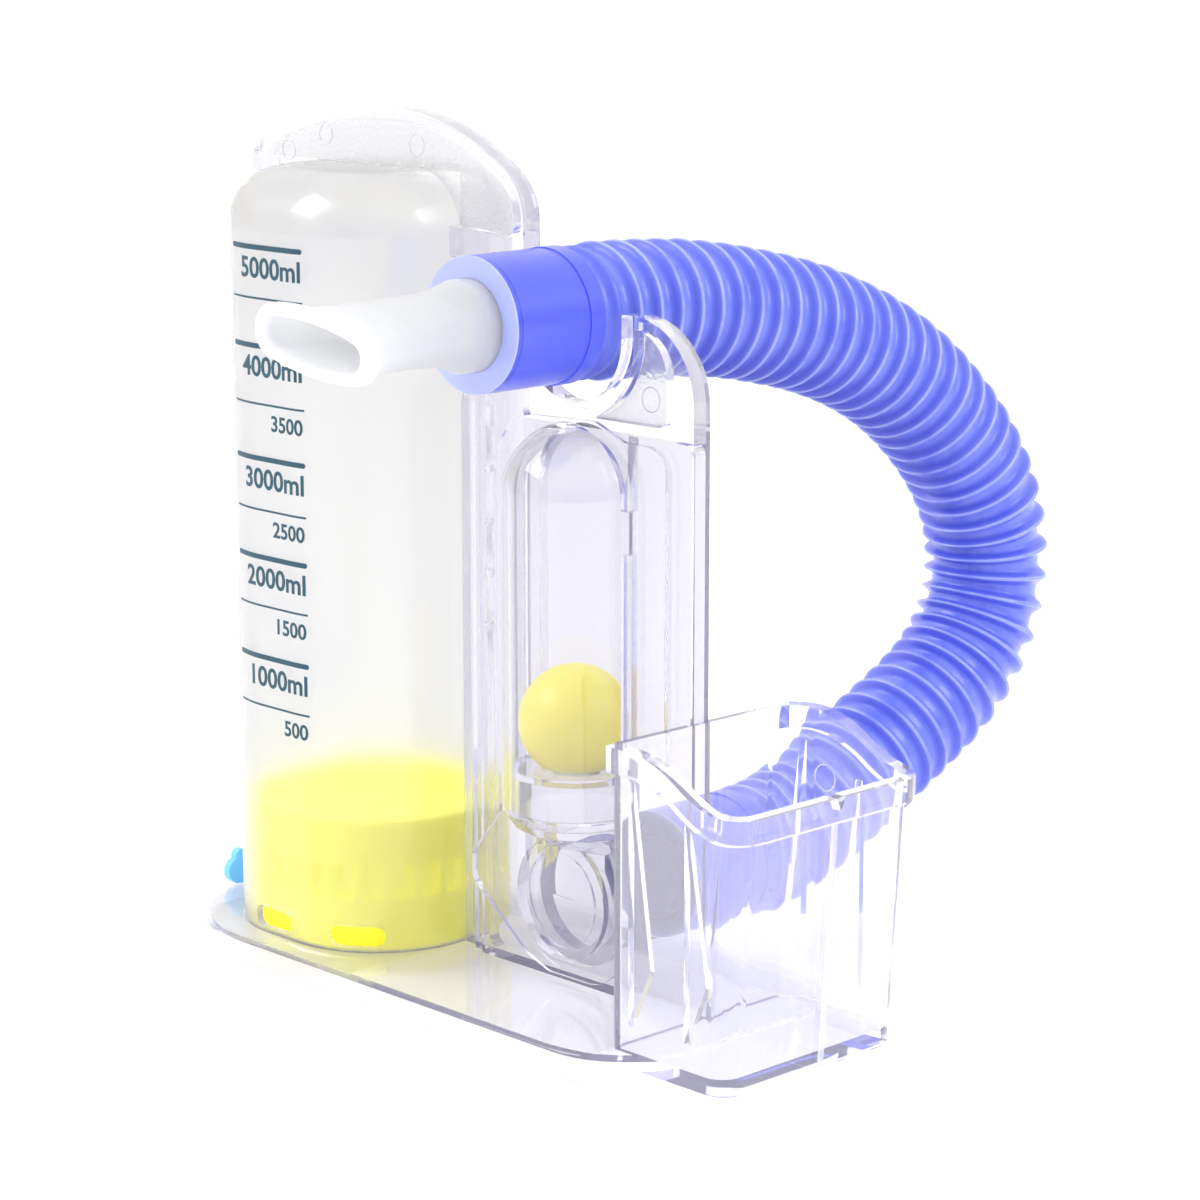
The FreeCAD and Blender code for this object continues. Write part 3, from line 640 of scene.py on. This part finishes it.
# %% Add the pin marks
PIN_MARKS = (
    ("arch_left", (-82.9, -1.8, 196.4), 2.4),
    ("arch_middle", (-68.5, -1.8, 201.0), 2.4),
    ("arch_right", (-34.9, -1.8, 200.2), 2.6),
    ("horn_small", (40.2, -1.8, 160.2), 1.3),
    ("horn_large", (43.8, -1.8, 148.0), 2.8),
    ("bin_rear", (72.3, 26.2, 61.1), 3.1),
)
RIDGE_HALF = 0.14
RIDGE_RISE = 0.16
RIDGE_GAP = 0.01
SHOULDER_OUT = 0.6
SHOULDER_RISE = 0.8
RING_STEPS = 48


def ring_ridge(name, centre, radius):
    """A low round ridge on a wall that faces -Y, as a closed ring of five-sided section."""
    section = (
        (-RIDGE_HALF, RIDGE_GAP),
        (-RIDGE_HALF * SHOULDER_OUT, RIDGE_RISE * SHOULDER_RISE),
        (0.0, RIDGE_RISE),
        (RIDGE_HALF * SHOULDER_OUT, RIDGE_RISE * SHOULDER_RISE),
        (RIDGE_HALF, RIDGE_GAP),
    )
    sides = len(section)
    vertices = []
    for i in range(RING_STEPS):
        angle = 2.0 * math.pi * i / RING_STEPS
        for out, rise in section:
            x = centre[0] + (radius + out) * math.cos(angle)
            z = centre[2] + (radius + out) * math.sin(angle)
            vertices.append(Vector((x, centre[1] - rise, z)) * MM)
    faces = []
    for i in range(RING_STEPS):
        for k in range(sides):
            n, ahead = (k + 1) % sides, (i + 1) % RING_STEPS
            faces.append((i * sides + k, ahead * sides + k, ahead * sides + n, i * sides + n))
    ridge = mesh_piece(name, vertices, faces, "housing")
    ridge.data.materials.append(clear_housing)
    return ridge


for label, centre, radius in PIN_MARKS:
    ring_ridge(f"pin_mark_{label}", centre, radius)
print("added", len(PIN_MARKS), "pin marks")

# %% [markdown]
# ## The weld bead on the bin
# Where the halves meet on the end wall of the bin, the two edges stand a little
# proud and the weld fills the joint, so a pale strip 2 mm wide runs down the wall.
# It is a slim bar with rounded edges that follows the lean of the wall.

# %% Add the weld bead
BEAD_HALF = 0.95
BEAD_RISE = 0.3
BEAD_GAP = 0.02
BEAD_EDGE = 0.02
BEAD_STEPS = 8
BEAD_FOOT = (95.6, 4.4)
BEAD_TOP = (98.95, 61.0)


def weld_bead():
    """A slim strip up the end wall of the bin, flat on the wall and rounded outside."""
    section = [(-BEAD_HALF, BEAD_GAP)]
    for k in range(BEAD_STEPS + 1):
        angle = math.pi * k / BEAD_STEPS
        rise = BEAD_GAP + BEAD_RISE * math.sin(angle) ** 0.5 + BEAD_EDGE
        section.append((-BEAD_HALF * math.cos(angle), rise))
    section.append((BEAD_HALF, BEAD_GAP))
    count = len(section)
    vertices = [Vector((x + out, y, z)) * MM for x, z in (BEAD_FOOT, BEAD_TOP) for y, out in section]
    faces = [(k, (k + 1) % count, count + (k + 1) % count, count + k) for k in range(count)]
    faces += [tuple(range(count))[::-1], tuple(range(count, 2 * count))]
    return mesh_piece("bin_weld_bead", vertices, faces, "housing", smooth=False)


bead_plastic, bead_tree = new_material("cloudy_polystyrene_weld")
bead_skin = grain(bead_tree, size_mm=2.0, strength=0.15, distance_mm=0.1)
bead_shader = add(
    bead_tree,
    "ShaderNodeBsdfPrincipled",
    {"Base Color": linear("F4F3FF"), "Roughness": 0.2, "IOR": BODY_IOR, "Transmission Weight": 0.7},
    {"Normal": bead_skin.outputs["Normal"]},
)
bead = weld_bead()
bead.data.materials.append(finish_with(lets_lamps_through(bead_tree, bead_shader), bead_plastic))
print("weld bead is", round(BEAD_TOP[1] - BEAD_FOOT[1]), "mm long")

# %% [markdown]
# ## Yellow polyethylene, and the pointer and the mouthpiece
# Piston and ball are moulded in yellow LDPE. It is waxy: satin, a little cloudy,
# and light spreads inside it, so its shaded side stays a warm yellow. Its dye is
# a fluorescent one, made to be seen from a bed. Every piece here also gets a weak
# emission in its own colour, which is painted light that brightens it; in the
# yellow it also stands for the glow of the fluorescent dye. The pointer and the
# mouthpiece are polypropylene, which passes more light. How far each colour of
# light spreads differs: furthest red in the yellow pieces, blue in the pointer,
# and all alike in the white one.


# %% Make the yellow, the pointer's blue and the white
SHEEN_PATCH = 14.0
SHEEN_CHANGE = 0.04
YELLOW_SPREAD = (1.0, 0.9, 0.5)
BLUE_SPREAD = (0.5, 0.8, 1.0)
WHITE_SPREAD = (1.0, 1.0, 1.0)


def moulded(name, hex_code, roughness, glow_mm, glow, painted_glow, spread=YELLOW_SPREAD, clear=0.0):
    """A moulded plastic with light spreading inside it and a weak emission of painted light in its own
    colour.
    """
    material, tree = new_material(name)
    skin = grain(tree, size_mm=1.5, strength=0.05, distance_mm=0.05)
    place = add(tree, "ShaderNodeTexCoord")
    cloud = add(
        tree,
        "ShaderNodeTexNoise",
        {"Scale": 1.0 / (SHEEN_PATCH * MM), "Detail": 2.0},
        {"Vector": place.outputs["Object"]},
    )
    blur = add(
        tree,
        "ShaderNodeMapRange",
        {"To Min": roughness - SHEEN_CHANGE, "To Max": roughness + SHEEN_CHANGE},
        {"Value": cloud.outputs["Fac"]},
    )
    shader = add(
        tree,
        "ShaderNodeBsdfPrincipled",
        {
            "Base Color": linear(hex_code),
            "IOR": 1.5,
            "Subsurface Weight": glow,
            "Subsurface Radius": spread,
            "Subsurface Scale": glow_mm * MM,
            "Transmission Weight": clear,
            # Painted light: a weak emission in the plastic's own colour.
            "Emission Color": linear(hex_code),
            "Emission Strength": painted_glow,
        },
        {"Roughness": blur.outputs["Result"], "Normal": skin.outputs["Normal"]},
    )
    return finish_with(shader, material)


dress(
    "piston",
    moulded("ldpe_yellow_piston", "F6F22A", roughness=0.38, glow_mm=4.0, glow=0.4, painted_glow=0.26),
)
dress(
    "flow_ball",
    moulded("ldpe_yellow_ball", "F3E60C", roughness=0.33, glow_mm=5.0, glow=0.4, painted_glow=0.12),
)
pointer_blue = moulded(
    "polypropylene_pointer_blue",
    "7CCBFF",
    roughness=0.3,
    glow_mm=2.0,
    glow=0.4,
    painted_glow=0.2,
    spread=BLUE_SPREAD,
    clear=0.2,
)
dress("goal_pointer", pointer_blue)
milky_white = moulded(
    "polypropylene_mouthpiece_milky",
    "F4F6FA",
    roughness=0.38,
    glow_mm=9.0,
    glow=1.0,
    painted_glow=0.02,
    spread=WHITE_SPREAD,
    clear=0.2,
)
dress("mouthpiece", milky_white)
print("dressed", len([o for o in nodes.values() if o.data.materials]), "CAD nodes")

# %% [markdown]
# ## The printed scale
# The scale is screen printed on the rounded front of the chamber in a dark
# petrol ink. On a curved wall a flat drawing has to be wrapped: a distance across
# the drawing becomes a distance along the wall's outline. The outline is straight
# for 6 mm each side of the chamber's middle and then follows a corner of 27 mm.
# The ink is a film, so each mark is a thin solid that stands a few hundredths of
# a millimetre off the wall. Only the plain numbers of the scale are kept.

# %% Wrap a flat drawing round the chamber
CHAMBER_X = -53.0
CHAMBER_FRONT = -32.5
CORNER = 27.0
STRAIGHT = 6.0
INK_GAP = 0.03
INK_FILM = 0.06
END_STEPS = 4
LINE_STEPS = 20
END_BLUNT = 8.0
TEXT_DEPTH = 0.01
TEXT_BOLDER = 0.02
TEXT_STEPS = 4
INK_BLUE = "0E4658"


def on_chamber(across, height, lift):
    """The point on the chamber's front wall for a place in the flat drawing, all in mm."""
    turn = max(0.0, abs(across) - STRAIGHT) / CORNER
    way = math.copysign(1.0, across)
    reach = CORNER + INK_GAP + lift
    x = min(abs(across), STRAIGHT) + reach * math.sin(turn)
    y = CHAMBER_FRONT + CORNER - reach * math.cos(turn)
    return Vector((CHAMBER_X + way * x, y, height)) * MM


def screen_ink():
    """Petrol screen ink, nearly matt."""
    material, tree = new_material("screen_ink_petrol")
    skin = grain(tree, size_mm=0.4, strength=0.1, distance_mm=0.02)
    shader = add(
        tree,
        "ShaderNodeBsdfPrincipled",
        {"Base Color": linear(INK_BLUE), "Roughness": 0.45, "IOR": 1.5},
        {"Normal": skin.outputs["Normal"]},
    )
    return finish_with(shader, material)


ink = screen_ink()


def printed_line(name, left, right, height, thickness):
    """A line of ink along the wall with rounded ends, as a thin closed slab."""
    half = thickness / 2.0
    bow = [half * (1.0 - math.cos(math.pi / 2.0 * k / END_STEPS)) for k in range(END_STEPS)]
    straight = [half + (right - left - thickness) * k / LINE_STEPS for k in range(LINE_STEPS + 1)]
    cuts = bow + straight + [right - left - d for d in reversed(bow)]
    steps = len(cuts) - 1
    vertices = []
    for cut in cuts:
        edge = min(cut, right - left - cut)
        rise = math.sqrt(max(half ** 2 - max(half - edge, 0.0) ** 2, (half / END_BLUNT) ** 2))
        for lift, side in ((0.0, -1.0), (INK_FILM, -1.0), (INK_FILM, 1.0), (0.0, 1.0)):
            vertices.append(on_chamber(left + cut, height + side * rise, lift))
    faces = [(3, 2, 1, 0), tuple(steps * 4 + k for k in range(4))]
    for i in range(steps):
        for k in range(4):
            n = (k + 1) % 4
            faces.append((i * 4 + k, i * 4 + n, i * 4 + 4 + n, i * 4 + 4 + k))
    line = mesh_piece(name, vertices, faces, "housing", smooth=False)
    line.data.materials.append(ink)
    return line


def printed_text(name, text, right, top, cap, width_share):
    """Text in ink. Cap is the height of a figure, and the text ends at right."""
    curve = bpy.data.curves.new(name, "FONT")
    curve.body = text
    curve.extrude = TEXT_DEPTH
    curve.offset = TEXT_BOLDER
    curve.resolution_u = TEXT_STEPS
    holder = bpy.data.objects.new(name, curve)
    mesh = bpy.data.meshes.new_from_object(holder)
    bpy.data.objects.remove(holder)
    bpy.data.curves.remove(curve)
    low = [min(v.co[k] for v in mesh.vertices) for k in range(3)]
    high = [max(v.co[k] for v in mesh.vertices) for k in range(3)]
    scale = cap / (high[1] - low[1])
    for v in mesh.vertices:
        across = right - (high[0] - v.co.x) * scale * width_share
        lift = INK_FILM * (v.co.z - low[2]) / (high[2] - low[2])
        v.co = on_chamber(across, top - (high[1] - v.co.y) * scale, lift)
    piece = bpy.data.objects.new(name, mesh)
    bpy.context.scene.collection.objects.link(piece)
    piece.data.materials.append(ink)
    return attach(piece, "housing")


print("the middle of the drawing lies at x =", round(on_chamber(0.0, 0.0, 0.0).x / MM, 1), "mm")

# %% [markdown]
# ## Lines and numbers
# The thousands get a thick line and the unit, and the halves a thin line and
# smaller figures. The highest half has its line only. The heights are read off
# the photograph, line by line, because its steps aren't even: the one from 2500
# down to 2000 is short. One reading is off, and puts the 4000 line about 1.7 mm
# higher than the photograph has it.

# %% Print the scale
SCALE = (
    (5000, 176.6),
    (4500, 164.5),
    (4000, 153.1),
    (3500, 139.2),
    (3000, 126.0),
    (2500, 113.5),
    (2000, 101.9),
    (1500, 89.9),
    (1000, 77.2),
    (500, 65.1),
)
LINE_LEFT = -16.2
LINE_RIGHT = 11.5
THICK_LINE = 1.25
THIN_LINE = 0.5
TALL_FIGURE = 5.1
SMALL_FIGURE = 3.9
FIGURE_WIDTH = 1.1
TEXT_INSET = 0.6
TEXT_DROP = 2.3
LINE_ONLY = 4500

for volume, height in SCALE:
    whole = volume % 1000 == 0
    thickness = THICK_LINE if whole else THIN_LINE
    printed_line(f"scale_line_{volume}", LINE_LEFT, LINE_RIGHT, height, thickness)
    if volume != LINE_ONLY:
        text = f"{volume}ml" if whole else str(volume)
        cap = TALL_FIGURE if whole else SMALL_FIGURE
        right, top = LINE_RIGHT - TEXT_INSET, height - TEXT_DROP
        printed_text(f"scale_text_{volume}", text, right, top, cap, FIGURE_WIDTH)
print("printed", len(SCALE), "lines")

# %% [markdown]
# ## Floor and light
# The floor is a plain pale sheet of acrylic, lit from below as on a light table,
# so that the object has no dark shadow and its underside is bright. Clear plastic
# shows only what it reflects and bends, so in front of white it needs something
# darker to draw its edges. The sky is white above and falls to a pale lavender at
# the horizon, with a cream side. Two large soft lamps add the long highlights.

# %% Lay the floor
FLOOR_HALF = 6.0
FLOOR_TINT = "E6E6E6"
LIGHT_TABLE = 0.35

floor_mesh = bpy.data.meshes.new("floor")
floor_mesh.from_pydata(
    [(x * FLOOR_HALF, y * FLOOR_HALF, 0.0) for x, y in ((-1, -1), (1, -1), (1, 1), (-1, 1))],
    [],
    [(0, 1, 2, 3)],
)
floor = bpy.data.objects.new("floor", floor_mesh)
bpy.context.scene.collection.objects.link(floor)
opal, opal_tree = new_material("opal_acrylic_sheet")
opal_shader = add(
    opal_tree,
    "ShaderNodeBsdfPrincipled",
    {
        "Base Color": linear(FLOOR_TINT),
        "Roughness": 0.8,
        "Specular IOR Level": 0.1,
        "Emission Color": linear("FFFFFF"),
        "Emission Strength": LIGHT_TABLE,
    },
)
floor.data.materials.append(finish_with(opal_shader, opal))
print("floor is", 2 * FLOOR_HALF, "m wide")

# %% Set the sky and the lamps
SKY_TOP = "FFFFFF"
SKY_CREAM = "F2EFE4"
SKY_LAVENDER = "B9B8DE"
SKY_STRENGTH = 1.2
AIM = (0.0, 0.0, 0.1)

world = bpy.data.worlds.new("studio")
bpy.context.scene.world = world
world.use_nodes = True
sky = world.node_tree
sky.nodes.clear()
direction = add(sky, "ShaderNodeTexCoord")
split_sky = add(sky, "ShaderNodeSeparateXYZ", links={"Vector": direction.outputs["Generated"]})
height_ramp = add(
    sky,
    "ShaderNodeMapRange",
    {"From Min": 0.0, "From Max": 0.7},
    {"Value": split_sky.outputs["Z"]},
    interpolation_type="SMOOTHSTEP",
)
side_ramp = add(
    sky,
    "ShaderNodeMapRange",
    {"From Min": -0.6, "From Max": 0.6},
    {"Value": split_sky.outputs["X"]},
    interpolation_type="SMOOTHSTEP",
)
low_sky = add(
    sky,
    "ShaderNodeMix",
    {6: linear(SKY_CREAM), 7: linear(SKY_LAVENDER)},
    {0: side_ramp.outputs["Result"]},
    data_type="RGBA",
)
whole_sky = add(
    sky,
    "ShaderNodeMix",
    {7: linear(SKY_TOP)},
    {0: height_ramp.outputs["Result"], 6: low_sky.outputs[2]},
    data_type="RGBA",
)
sky_colour = whole_sky.outputs[2]
background = add(sky, "ShaderNodeBackground", {"Strength": SKY_STRENGTH}, {"Color": sky_colour})
add(sky, "ShaderNodeOutputWorld", links={"Surface": background.outputs[0]})
bpy.context.scene.view_settings.view_transform = "Standard"


def soft_lamp(name, place, aim, size, power):
    """A square area lamp at a place, turned to a point."""
    lamp = bpy.data.lights.new(name, "AREA")
    lamp.size = size
    lamp.energy = power
    holder = bpy.data.objects.new(name, lamp)
    holder.location = place
    holder.rotation_mode = "QUATERNION"
    holder.rotation_quaternion = (Vector(aim) - Vector(place)).to_track_quat("-Z", "Y")
    bpy.context.scene.collection.objects.link(holder)
    return holder


soft_lamp("key_softbox", (-0.7, -0.9, 1.1), AIM, size=0.8, power=9.0)
soft_lamp("side_softbox", (1.0, 0.5, 0.8), AIM, size=0.6, power=4.0)
